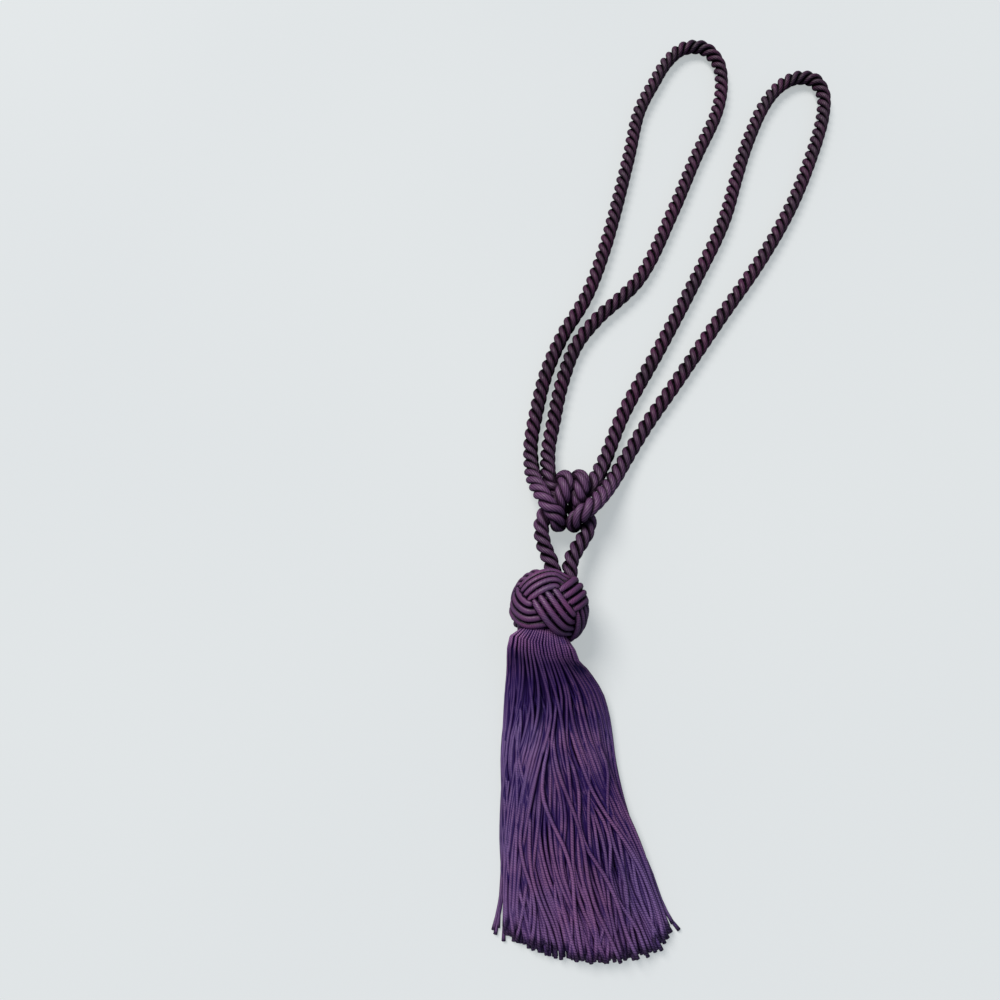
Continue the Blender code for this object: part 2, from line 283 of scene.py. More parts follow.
def makeTwistGroup():
    # fine yarns laid round a cord: a height for the bump and a mask of the lines between them
    group, inputs, outputs = newGroup(
        "twistedYarn",
        [
            ("UV", "NodeSocketVector", None),
            ("Turns", "NodeSocketFloat", 100.0),
            ("Yarns", "NodeSocketFloat", 6.0),
            ("Fuzz", "NodeSocketFloat", 0.3),
            ("Offset", "NodeSocketFloat", 0.0),
        ],
        [("Height", "NodeSocketFloat"), ("Lines", "NodeSocketFloat")],
    )
    split = group.nodes.new("ShaderNodeSeparateXYZ")
    group.links.new(inputs.outputs["UV"], split.inputs[0])
    along = mathNode(group, "MULTIPLY", split.outputs["X"], inputs.outputs["Turns"])
    around = mathNode(group, "MULTIPLY", split.outputs["Y"], inputs.outputs["Yarns"])
    place = group.nodes.new("ShaderNodeTexCoord")
    fuzz = noiseNode(group, place.outputs["Object"], yarn["fuzzScale"], 2.0)
    fuzz = mathNode(group, "MULTIPLY", mathNode(group, "SUBTRACT", fuzz, 0.5), inputs.outputs["Fuzz"])
    phase = mathNode(group, "ADD", mathNode(group, "ADD", along, around), fuzz)
    offset = mathNode(group, "MULTIPLY", inputs.outputs["Offset"], yarn["toneTurns"])
    phase = mathNode(group, "ADD", phase, offset)
    wave = mathNode(group, "SINE", mathNode(group, "MULTIPLY", phase, 2 * math.pi))
    height = rangeNode(group, wave, -1.0, 1.0, 0.0, 1.0)
    rounded = mathNode(group, "POWER", height, yarn["crown"])
    group.links.new(mathNode(group, "ADD", rounded, fuzz), outputs.inputs["Height"])
    group.links.new(mathNode(group, "SUBTRACT", 1.0, rounded), outputs.inputs["Lines"])
    return group


twistedYarn = makeTwistGroup()


def mixNode(tree, factor, low, high):
    # a colour between two colours, each a fixed one or another node's
    node = tree.nodes.new("ShaderNodeMix")
    node.data_type = "RGBA"
    for socket, value in ((node.inputs[6], low), (node.inputs[7], high)):
        if isinstance(value, tuple):
            socket.default_value = (*value, 1)
        else:
            tree.links.new(value, socket)
    tree.links.new(factor, node.inputs["Factor"])
    return node.outputs[2]


def attributeNode(tree, name):
    node = tree.nodes.new("ShaderNodeAttribute")
    node.attribute_name = name
    return node.outputs["Fac"]


def dyedColour(tree, finish, patches, along):
    # the dye and its patches, turning to a warmer colour towards the head
    dyed = mixNode(tree, patches, finish["colour"], finish["patch"])
    nearHead = rangeNode(tree, along, *finish["warmFrom"], 0.0, finish["warmth"])
    return mixNode(tree, nearHead, dyed, finish["warm"])


def dyeAndPaintedShade(tree, finish, tone, lines, band, uv):
    # lighter and darker strands, with painted shade in the lines between yarns, a lighter band and dark cut
    # ends
    bright = rangeNode(tree, tone, 0.0, 1.0, 1 - finish["toneRange"], 1 + finish["toneRange"])
    between = rangeNode(tree, lines, *yarn["lineEdge"], 1.0, 1 - finish["linePaintedShade"])
    strength = mathNode(tree, "MULTIPLY", bright, between)
    lifted = rangeNode(tree, band, 0.0, 1.0, 1.0, finish["bandLift"])
    strength = mathNode(tree, "MULTIPLY", strength, lifted)
    if finish["darkTip"]:
        ends = tree.nodes.new("ShaderNodeSeparateXYZ")
        tree.links.new(uv, ends.inputs[0])
        tips = rangeNode(tree, ends.outputs["X"], *yarn["tipEdge"], 1.0, finish["darkTip"])
        strength = mathNode(tree, "MULTIPLY", strength, tips)
    return strength


def paintedShadeShare(tree, finish, tone, patches, band, place, along):
    # how much painted shade the colour takes, turning to the deep one: between strands, on low ones, in
    # hollows and in the band
    closed = rangeNode(tree, attributeNode(tree, "shelter"), *finish["shelter"], 0.0, 1.0)
    clouds = noiseNode(tree, place, yarn["hollowScale"], 1.0)
    paintedHollowShade = rangeNode(tree, clouds, *yarn["hollowEdge"], 0.0, finish["paintedHollowShade"])
    under = rangeNode(tree, tone, *yarn["hollowTones"], 1.0, yarn["hollowOnTop"])
    low = rangeNode(tree, tone, *yarn["lowTones"], finish["lowPaintedShade"], 0.0)
    low = mathNode(tree, "ADD", low, mathNode(tree, "MULTIPLY", paintedHollowShade, under))
    closed = mathNode(tree, "ADD", closed, low)
    hem = rangeNode(tree, along, *yarn["hemFade"], finish["hemShade"], 1.0)
    closed = mathNode(tree, "MULTIPLY", closed, hem)
    patchDeep = yarn["bandOnPatch"] * finish["bandPaintedShade"]
    paintedBandShade = rangeNode(tree, patches, 0.0, 1.0, finish["bandPaintedShade"], patchDeep)
    closed = mathNode(tree, "ADD", closed, mathNode(tree, "MULTIPLY", band, paintedBandShade))
    return mathNode(tree, "MINIMUM", closed, 1.0)


def addSheen(tree, finish, shader, lines, closed, place):
    # satin gloss, broken by the grain, the lines between yarns and the painted shade
    grain = noiseNode(tree, place, yarn["grainScale"])
    least, most = (finish["rough"] + spread for spread in yarn["roughSpread"])
    tree.links.new(rangeNode(tree, grain, *yarn["grainEdge"], least, most), shader.inputs["Roughness"])
    dulled = yarn["glossInLines"] * finish["gloss"]
    glossy = rangeNode(tree, lines, *yarn["glossEdge"], finish["gloss"], dulled)
    broken = rangeNode(tree, grain, *yarn["glossGrain"], yarn["glossLeast"], 1.0)
    glossy = mathNode(tree, "MULTIPLY", glossy, broken)
    glossy = mathNode(tree, "MULTIPLY", glossy, mathNode(tree, "SUBTRACT", 1.0, closed))
    tree.links.new(glossy, shader.inputs["Coat Weight"])
    shader.inputs["Coat Roughness"].default_value = finish["glossRough"]
    shader.inputs["Specular IOR Level"].default_value = finish["shine"]


def fibreMaterial(name, finish):
    # dyed satin fibre: twisted yarns, uneven dye and painted shade where strands close in
    material = bpy.data.materials.new(name)
    material.use_nodes = True
    tree = material.node_tree
    shader = tree.nodes["Principled BSDF"]
    coordinates = tree.nodes.new("ShaderNodeTexCoord")
    place, uv = coordinates.outputs["Object"], coordinates.outputs["UV"]
    split = tree.nodes.new("ShaderNodeSeparateXYZ")
    tree.links.new(place, split.inputs[0])
    along = split.outputs["Y"]
    tone = attributeNode(tree, "tone")
    twist = tree.nodes.new("ShaderNodeGroup")
    twist.node_tree = twistedYarn
    tree.links.new(uv, twist.inputs["UV"])
    tree.links.new(tone, twist.inputs["Offset"])
    for label in ("Turns", "Yarns", "Fuzz"):
        twist.inputs[label].default_value = finish[label.lower()]
    lines = twist.outputs["Lines"]
    clouds = noiseNode(tree, place, finish["patchScale"], 2.0)
    patches = rangeNode(tree, clouds, *yarn["patchEdge"], 0.0, 1.0)
    away = mathNode(tree, "ABSOLUTE", mathNode(tree, "SUBTRACT", along, finish["bandAt"]))
    band = rangeNode(tree, away, yarn["bandCore"], finish["bandHalf"], 1.0, 0.0)
    dyed = tree.nodes.new("ShaderNodeVectorMath")
    dyed.operation = "SCALE"
    tree.links.new(dyedColour(tree, finish, patches, along), dyed.inputs[0])
    tree.links.new(dyeAndPaintedShade(tree, finish, tone, lines, band, uv), dyed.inputs["Scale"])
    # the deep colour mixed in below is painted shade
    closed = paintedShadeShare(tree, finish, tone, patches, band, place, along)
    tree.links.new(mixNode(tree, closed, dyed.outputs[0], finish["deep"]), shader.inputs["Base Color"])
    addSheen(tree, finish, shader, lines, closed, place)
    bump = tree.nodes.new("ShaderNodeBump")
    bump.inputs["Strength"].default_value = finish["bump"]
    bump.inputs["Distance"].default_value = finish["depth"]
    tree.links.new(twist.outputs["Height"], bump.inputs["Height"])
    tree.links.new(bump.outputs["Normal"], shader.inputs["Normal"])
    return material


# the rope: one three-ply cord from the head, through the knot, round both loops and back
rope = {
    "pitch": 20 * mm,
    "layRadius": 2.74 * mm,
    "plyRadius": 1.84 * mm,
    "coreRadius": 1.35 * mm,
    "knotLayRadius": 2.7 * mm,
    "knotPlyRadius": 2.24 * mm,
    "knotFrom": (46, 52),  # on its way up it thickens between these
    "knotTo": (75, 95),  # and thins again between these
    "stepsPerTurn": 20,
    "intoHead": 3 * mm,
    "floorGap": 0.05 * mm,
    "shelterReach": 5 * mm,
    "turnRadius": 8.5,
    "turnHeight": 12.9,
    "turnUpperY": 66.3,
    "turnLowerY": 55.7,
    "turnAngles": (55, 20, -15, -50, -85, -95, -130, -165, -200, -235),
    "leftTurn": (10.8, 5.2, -235),  # its upper side, its lower side and the angle it ends at
    "rightTurn": (19.3, 14.0, -200),
    "neckLeft": [
        (2.6, 18.6, 19.2),
        (0.9, 25.5, 17.4),
        (-1.8, 33, 15.6),
        (-3.3, 41, 13.8),
        (-3.1, 48, 12.8),
    ],
    "tailLeft": [(-0.6, 53.6, 12.5), (4, 56.8, 13.4), (7.6, 59.8, 17.4), (9.4, 65, 20.8)],
    "bandLeft": [
        (1.2, 55, 21.2),
        (-1.4, 60, 20.6),
        (-4.2, 66, 17.8),
        (-6.5, 72.4, 13.9),
        (-7.9, 80, 9.3),
    ],
    "loopLeft": [
        (-8.5, 90, 5.6),
        (-8.3, 100, 4.6),
        (-4, 123.3, 4.6),
        (1.8, 146, 4.6),
        (12.4, 171.4, 4.6),
        (27.8, 198.5, 4.6),
        (41.3, 235, 4.6),
        (59.8, 304.2, 4.6),
        (69.4, 344.2, 4.6),
        (80.8, 368.5, 4.6),
        (91.8, 388, 4.6),
        (104, 399.5, 4.6),
        (117.8, 399.8, 4.6),
        (127, 387.5, 4.6),
        (128.2, 368, 4.6),
        (123, 344, 4.6),
        (105.2, 305, 4.6),
        (86.5, 261, 4.6),
        (62, 211.5, 4.6),
        (34, 182.7, 4.6),
        (20.6, 164.5, 4.6),
        (10.9, 137.9, 4.6),
        (5.2, 112, 4.6),
        (2.2, 97, 5.4),
    ],
    "throughKnot": [
        (1.3, 86.5, 7.6),
        (1.2, 78.5, 10.6),
        (2, 71.8, 12.4),
        (5.6, 67.2, 12.8),
        (11, 66, 12.8),
        (18.5, 66.6, 12.4),
        (23.4, 68.2, 12),
        (27.8, 73.4, 10.2),
        (31.7, 81, 7.6),
    ],
    "loopRight": [
        (36.4, 91, 5.4),
        (47.8, 118.3, 4.6),
        (71.6, 161, 4.6),
        (95.9, 206.4, 4.6),
        (119.5, 253.5, 4.6),
        (131.5, 289, 4.6),
        (140.5, 315, 4.6),
        (156, 349, 4.6),
        (168.5, 365.5, 4.6),
        (181.5, 373.2, 4.6),
        (193, 371.5, 4.6),
        (198.2, 360, 4.6),
        (196.4, 343, 4.6),
        (187.7, 316.5, 4.6),
        (166.9, 269, 4.6),
        (142, 226.5, 4.6),
        (112.5, 184.5, 4.6),
        (81.2, 139.2, 4.6),
        (61, 110.5, 4.6),
    ],
    "bandRight": [
        (48.5, 90.5, 5.4),
        (40, 76.5, 8.2),
        (33.2, 66.4, 13.2),
        (28, 59.7, 18.2),
        (23.2, 54.6, 21.3),
        (18.6, 51.2, 20.6),
    ],
    "tailRight": [(18.5, 65, 20.8), (18.2, 60, 17.4), (19.9, 56.4, 13.7), (23, 51.8, 12.7)],
    "neckRight": [
        (23.5, 46.5, 12.7),
        (21.2, 40.5, 13.7),
        (16.2, 32.6, 15.6),
        (12.6, 25.5, 17.4),
        (11.2, 16.6, 19.2),
    ],
    "finish": plainFinish | {
        "colour": (0.052, 0.020, 0.046),
        "patch": (0.090, 0.019, 0.065),
        "patchScale": 60.0,
        "warmFrom": (0.13, 0.07),
        "warmth": 0.9,
        "warm": (0.092, 0.040, 0.096),
        "deep": (0.003, 0.001, 0.003),  # the colour of the painted shade, where no light reaches
        "shelter": (0.03, 0.26),  # how closed in a place is where the painted shade starts, and where it is deepest
        "turns": 900.0,  # of the fine yarns, along the whole of a ply
        "yarns": -9.0,  # side by side round it, below 0 for the other lay
        "fuzz": 0.5,
        "linePaintedShade": 0.6,
        "rough": 0.5,
        "bump": 0.6,
        "depth": 0.0004,  # of the bump, in metres
        "gloss": 0.65,
        "glossRough": 0.5,
        # in the knot: less of the painted shade, and a lighter colour
        "bandAt": 0.06,
        "bandHalf": 0.023,
        "bandPaintedShade": -0.45,
        "bandLift": 1.75,
    },
}


def knotTurn(xUpper, xLower, last):
    # a turn of the knot, from its upper front round the back to its lower front
    angles = rope["turnAngles"]
    radius = rope["turnRadius"]
    found = []
    for angle in angles:
        if angle < last:
            continue
        share = (angles[0] - angle) / (angles[0] - angles[-1])
        middle = rope["turnUpperY"] if angle > -90 else rope["turnLowerY"]
        turned = math.radians(angle)
        x = xUpper + share * (xLower - xUpper)
        y = middle + radius * math.cos(turned)
        found.append((x, y, rope["turnHeight"] + radius * math.sin(turned)))
    return found


def ropeRoute():
    points = rope["neckLeft"] + rope["tailLeft"] + knotTurn(*rope["leftTurn"]) + rope["bandLeft"]
    points += rope["loopLeft"] + rope["throughKnot"] + rope["loopRight"] + rope["bandRight"]
    points += knotTurn(*rope["rightTurn"])[::-1] + rope["tailRight"] + rope["neckRight"]
    line = smoothLine(points)
    first = line[0] + (line[0] - line[4]) / np.linalg.norm(line[0] - line[4]) * rope["intoHead"]
    last = line[-1] + (line[-1] - line[-5]) / np.linalg.norm(line[-1] - line[-5]) * rope["intoHead"]
    return evenSteps(np.vstack([first, line, last]), rope["pitch"] / rope["stepsPerTurn"])


def knotShare(line):
    # 1 in the knot, where the rope is fuller, and 0 in the necks and loops
    y = line[:, 1] / mm
    low, lowFull = rope["knotFrom"]
    highFull, high = rope["knotTo"]
    return np.clip((y - low) / (lowFull - low), 0, 1) * np.clip((high - y) / (high - highFull), 0, 1)


def makeRope():
    line = ropeRoute()
    sides, ups = sidesAlong(line)
    knotted = knotShare(line)
    lay = rope["layRadius"] + knotted * (rope["knotLayRadius"] - rope["layRadius"])
    thick = rope["plyRadius"] + knotted * (rope["knotPlyRadius"] - rope["plyRadius"])
    line[:, 2] = np.maximum(line[:, 2], lay + thick + rope["floorGap"])
    along = np.arange(len(line)) * rope["pitch"] / rope["stepsPerTurn"] - rope["intoHead"]
    plies = []
    for ply in range(3):
        turned = -2 * math.pi * along / rope["pitch"] + 2 * math.pi * ply / 3
        outward = np.cos(turned)[:, None] * sides + np.sin(turned)[:, None] * ups
        plies.append(line + lay[:, None] * outward)
    plies.append(line)
    core = np.full(len(line), rope["coreRadius"] / rope["plyRadius"])
    widths = [thick / rope["plyRadius"]] * 3 + [core]
    mesh = tubesMesh("rope", plies, rope["plyRadius"], 4, widths)
    finishTubes(mesh, [0.5], rope["shelterReach"])
    piece = addPiece("ropeCord", mesh, fibreMaterial("ropeFibre", rope["finish"]), "rope", "rope")
    print("rope made, length", round(lineLength(line), 3))


makeRope()

# the head: a ball under a weave of cords, each band crossing over and under the next
head = {
    "centre": Vector((0, 0, 20.9 * mm)),
    "yaw": 12.8,
    "dip": 5.0,
    "roll": 4.5,
    "coreRadius": 17.6 * mm,
    "leads": 3,
    "bights": 5,
    "latitude": 35.0,
    "cords": 4,
    "cordRadius": 1.9 * mm,
    "spacing": 3.95 * mm,
    "lie": 18.8 * mm,
    "weave": 0.9 * mm,
    "crossing": 2.2,  # higher for a shorter climb over each crossing
    "barrel": 0.2,
    "barrelCurve": 1.5,
    "steps": 480,
    "coreDetail": (48, 24),
    "shelterReach": 4 * mm,
    "tones": [0.7, 0.95, 0.8, 1.0, 0.0],  # of the four cords and the core; the core's low tone gives it painted shade
    "finish": plainFinish | {
        "colour": (0.122, 0.055, 0.144),
        "patch": (0.172, 0.050, 0.154),
        "patchScale": 60.0,
        # the painted shade's colour, in the gaps between the cords and on the core
        "deep": (0.005, 0.001, 0.008),
        "shelter": (0.05, 0.31),
        "turns": 560.0,
        "yarns": 5.0,
        "fuzz": 0.8,
        "linePaintedShade": 0.55,
        "toneRange": 0.1,
        "rough": 0.4,
        "bump": 0.5,
        "depth": 0.00025,
        "gloss": 1.0,
        "glossRough": 0.43,
        # the core takes nearly all of the deep colour, painted shade for the gaps between the cords
        "lowPaintedShade": 0.92,
    },
}


def headAxes():
    # across the head, towards its top and along its axis to the neck
    yaw, dip = math.radians(head["yaw"]), math.radians(head["dip"])
    axis = Vector((math.sin(yaw) * math.cos(dip), math.cos(yaw) * math.cos(dip), -math.sin(dip)))
    top = (Vector((0, 0, 1)) - axis.z * axis).normalized()
    return axis.cross(top), top, axis


def headShape(ways):
    # directions from the head's centre, drawn out where the head is fuller above the skirt
    axis = np.array(headAxes()[2])
    low = np.clip(-(ways @ axis), 0, None)[:, None]
    level = ways - (ways @ axis)[:, None] * axis
    return ways + level * head["barrel"] * low ** head["barrelCurve"]


def weaveLine(offset):
    across, top, axis = (np.array(way) for way in headAxes())
    steps = np.linspace(0, 2 * math.pi, head["steps"], endpoint=False)
    latitude = math.radians(head["latitude"]) * np.cos(head["bights"] * steps)
    longitude = head["leads"] * steps + math.radians(head["roll"])
    level = np.cos(longitude)[:, None] * top + np.sin(longitude)[:, None] * across
    middle = np.cos(latitude)[:, None] * level + np.sin(latitude)[:, None] * axis
    ahead = np.roll(middle, -1, axis=0) - np.roll(middle, 1, axis=0)
    sideways = np.cross(middle, ahead)
    sideways /= np.linalg.norm(sideways, axis=1, keepdims=True)
    turned = offset / head["lie"]
    way = headShape(math.cos(turned) * middle + math.sin(turned) * sideways)
    over = np.tanh(-head["crossing"] * np.sin(2 * head["bights"] * steps))
    reach = head["lie"] + head["weave"] * over
    line = np.array(head["centre"]) + way * reach[:, None]
    line[:, 2] = np.maximum(line[:, 2], head["cordRadius"])
    return line


def addCore(bm):
    # the core in rings from its bottom to its top, always in the same order
    around, rings = head["coreDetail"]
    ways = [(0, 0, -1)]
    for ring in range(1, rings):
        tilt = math.pi * ring / rings
        for number in range(around):
            turned = 2 * math.pi * number / around
            x, y = math.sin(tilt) * math.cos(turned), math.sin(tilt) * math.sin(turned)
            ways.append((x, y, -math.cos(tilt)))
    ways.append((0, 0, 1))
    shaped = headShape(np.array(ways)) * head["coreRadius"]
    bottom, *level, top = (bm.verts.new(head["centre"] + Vector(place)) for place in shaped)
    for number in range(around):
        beside = (number + 1) % around
        bm.faces.new((bottom, level[beside], level[number]))
        bm.faces.new((top, level[number - around], level[beside - around]))
        for start in range(0, len(level) - around, around):
            low, high = level[start : start + around], level[start + around : start + 2 * around]
            bm.faces.new((low[number], low[beside], high[beside], high[number]))


def makeHead():
    offsets = [(k - (head["cords"] - 1) / 2) * head["spacing"] for k in range(head["cords"])]
    lines = [weaveLine(offset) for offset in offsets]
    mesh = tubesMesh("head", lines, head["cordRadius"], 3, closed=True)
    bm = bmesh.new()
    bm.from_mesh(mesh)
    addCore(bm)
    bm.to_mesh(mesh)
    bm.free()
    finishTubes(mesh, head["tones"], head["shelterReach"])
    addPiece("wovenHead", mesh, fibreMaterial("headFibre", head["finish"]), "head", "head")
    print("head made")


makeHead()

# the skirt: layers of strands from under the head, with locks that cross on top of them
skirt = {
    "strandRadius": 0.8,
    "topThick": 1.28,  # the locks' and loose strands' thickness beside the lower ones
    "tipFlare": 1.35,
    "step": 6 * mm,
    "shelterReach": 5 * mm,
    "rootLevel": 0.93,
    "rootDrop": 0.12,
    "rootStep": 0.05,
    "rootRows": 8,
    "rootThin": 0.84,
    # depth from the head's centre, half width, half height and shift to the right
    "root": [
        (12.0, 10.0, 10.0, 0.0),
        (17.5, 13.6, 12.6, 0.2),
        (21.0, 17.4, 13.2, 0.3),
        (26.0, 19.0, 12.0, 1.5),
    ],
    "sectionColumns": ("y", "left", "right", "height"),
    "sections": [
        (-32, -23.6, 19.6, 30.0),
        (-38, -25.0, 25.0, 26.5),
        (-49, -25.4, 31.2, 21.5),
        (-64, -26.2, 33.4, 18.0),
        (-79, -26.6, 34.6, 16.0),
        (-96, -26.2, 37.4, 14.0),
        (-119, -25.4, 44.4, 12.0),
        (-140, -24.8, 49.6, 10.5),
        (-152, -24.8, 54.6, 9.6),
        (-162, -25.4, 60.6, 9.0),
        (-175, -25.8, 65.0, 8.6),
    ],
    "underLift": 7.5,  # of its underside beside the head, which comes down to the floor over underDrop
    "underDrop": 36.0,
    "flatFrom": -30,  # its rounded top flattens from here on
    "flatOver": 50,
    "edgeDrop": 0.6,
    "edgeCurve": 2.5,
    "bodyTop": -34,
    "bodyPoints": 12,
    "hemTipY": -172.5,
    "hemCornerY": -160.0,
    "hemCurve": 2.2,
    "hemUneven": (-3.0, 2.8),
    "sway": (0.5, 3.2),
    "bends": (4.5, 9.0),
    "drift": 9.0,  # of half the strands, the others keep to driftCalm
    "driftCalm": 2.0,
    "lift": 0.7,
    "liftWithDrift": 0.2,
    "ripple": 0.4,
    # strands and level of each layer
    "layers": [(58, 0.0), (46, 0.17), (42, 0.34), (40, 0.5), (38, 0.66)],
    "layerWave": 0.05,
    "loose": {"strands": 30, "levels": (0.84, 1.06), "start": 0.85, "turn": 0.4, "hemShare": 0.97},
    "lockWaves": ((0.8, 2.0), (55, 90)),
    "looseWaves": ((1.0, 3.4), (50, 100)),
    "lockStations": (-26, -80, -119, -160),
    "lastStation": -165.0,
    # each lock's strands, its level, and its left and right edge at the four stations, in half widths
    "locks": {
        "underLeft": (13, 0.70, (-0.75, -0.25), (-0.82, -0.50), (-0.83, -0.51), (-0.75, -0.40)),
        "underRight": (22, 0.70, (0.45, 0.90), (0.45, 0.91), (0.45, 0.86), (0.25, 0.84)),
        "leftEdge": (7, 0.62, (-1.00, -0.74), (-1.00, -0.90), (-1.00, -0.93), (-1.02, -0.92)),
        "leftFan": (10, 0.80, (-0.74, -0.38), (-0.94, -0.73), (-0.94, -0.74), (-0.80, -0.63)),
        "leftCross": (10, 1.02, (-0.38, -0.08), (-0.76, -0.31), (-0.98, -0.72), (-1.00, -0.84)),
        "centreLeft": (13, 0.86, (-0.08, 0.16), (-0.39, -0.10), (-0.56, -0.11), (-0.44, 0.02)),
        "centre": (18, 0.95, (0.14, 0.42), (-0.14, 0.30), (-0.14, 0.48), (-0.04, 0.30)),
        "rightCross": (12, 1.08, (0.42, 0.70), (0.33, 0.83), (0.76, 1.03), (0.82, 1.00)),
        "rightEdge": (9, 0.66, (0.70, 1.00), (0.83, 1.00), (0.86, 1.00), (0.84, 1.00)),
    },
    "strayTone": 0.1,
    "strayHigh": 8.0,  # a stray's height at its first point, and its fall to each next one
    "strayFall": 4.0,
    "strays": [
        [(26, -56), (32, -75), (35.5, -96), (43.5, -117), (49.5, -137), (56.5, -152), (63.5, -161)],
        [(28, -60), (34, -78), (36, -98), (42, -114), (50.5, -133), (55.5, -148), (60.5, -158)],
        [(-24, -70), (-25.6, -95), (-26.4, -118), (-25.6, -138), (-27.4, -150), (-30.2, -161)],
        [(-23.5, -80), (-25.6, -104), (-25.4, -126), (-26.6, -146), (-27.8, -160)],
        [(-22, -90), (-24.6, -112), (-25.8, -130), (-25.8, -146), (-29.2, -163)],
        [(-21, -104), (-23.4, -126), (-24.4, -146), (-25.0, -166)],
    ],
    "finish": plainFinish | {
        "colour": (0.218, 0.126, 0.342),
        "patch": (0.266, 0.114, 0.284),
        "patchScale": 26.0,
        "warmFrom": (-0.045, -0.018),
        "warmth": 0.75,
        "warm": (0.310, 0.104, 0.285),
        # the painted shade's colour, bluish like the shadows between the strands
        "deep": (0.024, 0.008, 0.086),
        "shelter": (0.13, 0.58),
        "turns": 140.0,
        "yarns": 2.0,
        "fuzz": 0.9,
        "linePaintedShade": 0.65,
        "toneRange": 0.26,
        "rough": 0.4,
        "bump": 0.5,
        "depth": 0.00025,
        "gloss": 0.6,
        "glossRough": 0.5,
        "darkTip": 0.35,
        "lowPaintedShade": 0.2,
        "paintedHollowShade": 0.34,
        # a band of painted shade on the slope below the head
        "bandAt": -0.044,
        "bandHalf": 0.022,
        "bandPaintedShade": 0.62,
        "hemShade": 0.45,
    },
}


def skirtAt(y):
    rows = skirt["sections"][::-1]
    ys = [row[0] for row in rows]
    names = skirt["sectionColumns"]
    return {name: float(np.interp(y, ys, [row[k] for row in rows])) for k, name in enumerate(names)}


def skirtPoint(share, level, y):
    # a place in the skirt: share runs from its left edge at -1 to its right at 1, level from floor to top
    size = skirtAt(y)
    radius = skirt["strandRadius"]
    flat = min(1.0, max(0.0, (skirt["flatFrom"] - y) / skirt["flatOver"]))
    reach = flat + (1 - flat) * math.sqrt(1 - (level * 2 - 1) ** 2 / 2)
    x = (size["left"] + size["right"]) / 2 + share * reach * ((size["right"] - size["left"]) / 2 - radius)
    rounded = 1 - skirt["edgeDrop"] * min(1.0, abs(share)) ** skirt["edgeCurve"]
    low = skirt["underLift"] * max(0.0, 1 + (y - skirt["flatFrom"]) / skirt["underDrop"]) ** 2
    return x, radius + low + (size["height"] - low - 2 * radius) * rounded * level


def rootPoints(rootShare, rootLevel):
    # a strand's first points, from inside the head to just under it
    across, top, axis = headAxes()
    up = rootLevel * 2 - 1
    a = rootShare * math.sqrt(1 - up * up / 2)
    b = up * math.sqrt(1 - rootShare * rootShare / 2)
    points = []
    for depth, wide, high, shift in skirt["root"]:
        inside = head["centre"] / mm - axis * depth
        points.append(inside + across * a * wide + top * b * high + Vector((shift, 0, 0)))
    return points


def strandLine(rootShare, rootLevel, shares, level, wave, chance):
    # one strand from inside the head to the hem, through its share of the width at each station
    course = np.polyfit(skirt["lockStations"], shares, 3)
    points = rootPoints(rootShare, rootLevel)
    tipY, cornerY = skirt["hemTipY"], skirt["hemCornerY"]
    hemY = tipY + (cornerY - tipY) * abs(shares[-1]) ** skirt["hemCurve"]
    hemY += chance.uniform(*skirt["hemUneven"]) + level
    phase = chance.uniform(0, 2 * math.pi)
    sway = chance.uniform(*skirt["sway"])
    bends = chance.uniform(*skirt["bends"])
    most = skirt["drift"] if chance.random() < 0.5 else skirt["driftCalm"]
    inner = 1 - abs(shares[-1]) ** 3  # strands at the edges keep to them
    drift = chance.uniform(-most, most) * inner
    sway *= 1 - 0.8 * abs(shares[-1]) ** 3
    waveSize, waveLength, wavePhase = wave
    waveSize *= inner
    if level == 0:
        sway, drift = 0.0, 0.0
    lift = chance.uniform(-skirt["lift"], skirt["lift"]) + skirt["liftWithDrift"] * abs(drift) * level
    least = skirt["strandRadius"] * skirt["tipFlare"]
    bodyTop = skirt["bodyTop"]
    for y in np.linspace(bodyTop, hemY, skirt["bodyPoints"]):
        t = (bodyTop - y) / (bodyTop - hemY)
        rise = min(1.0, t * 2.5)
        rise = rise * rise * (3 - 2 * rise)
        here = rootLevel + (level - rootLevel) * rise
        planned = float(np.polyval(course, max(y, skirt["lastStation"])))
        share = rootShare + (planned - rootShare) * min(1.0, 0.4 + 2 * rise)
        x, z = skirtPoint(share, here, y)
        x += sway * t * math.sin(phase + bends * t) + drift * t**2.2
        x += waveSize * rise * math.sin(wavePhase + 2 * math.pi * y / waveLength)
        z += (lift + skirt["ripple"] * math.sin(phase * 2 + 4 * t) * level) * rise
        points.append((x, y, max(z, least + 0.02)))
    line = evenSteps(smoothLine(points, 8), skirt["step"])
    line[:, 2] = np.maximum(line[:, 2], least * mm)
    return line


def drawWave(chance, sizes, lengths):
    return chance.uniform(*sizes), chance.uniform(*lengths), chance.uniform(0, 2 * math.pi)


def topCourses(chance):
    # the shares at each station and the level of every strand of the locks and the loose ones
    courses = []
    for count, level, *stations in skirt["locks"].values():
        wave = drawWave(chance, *skirt["lockWaves"])
        for number in range(count):
            part = (number + 0.5 + chance.uniform(-0.2, 0.2)) / count
            courses.append(([left + part * (right - left) for left, right in stations], level, wave))
    loose = skirt["loose"]
    for number in range(loose["strands"]):
        start = chance.uniform(-loose["start"], loose["start"])
        turn = chance.uniform(-loose["turn"], loose["turn"])
        hem = max(-loose["hemShare"], min(loose["hemShare"], start + turn))
        wave = drawWave(chance, *skirt["looseWaves"])
        shares = [start, start + 0.1 * turn, start + 0.45 * turn, hem]
        courses.append((shares, chance.uniform(*loose["levels"]), wave))
    return sorted(courses)


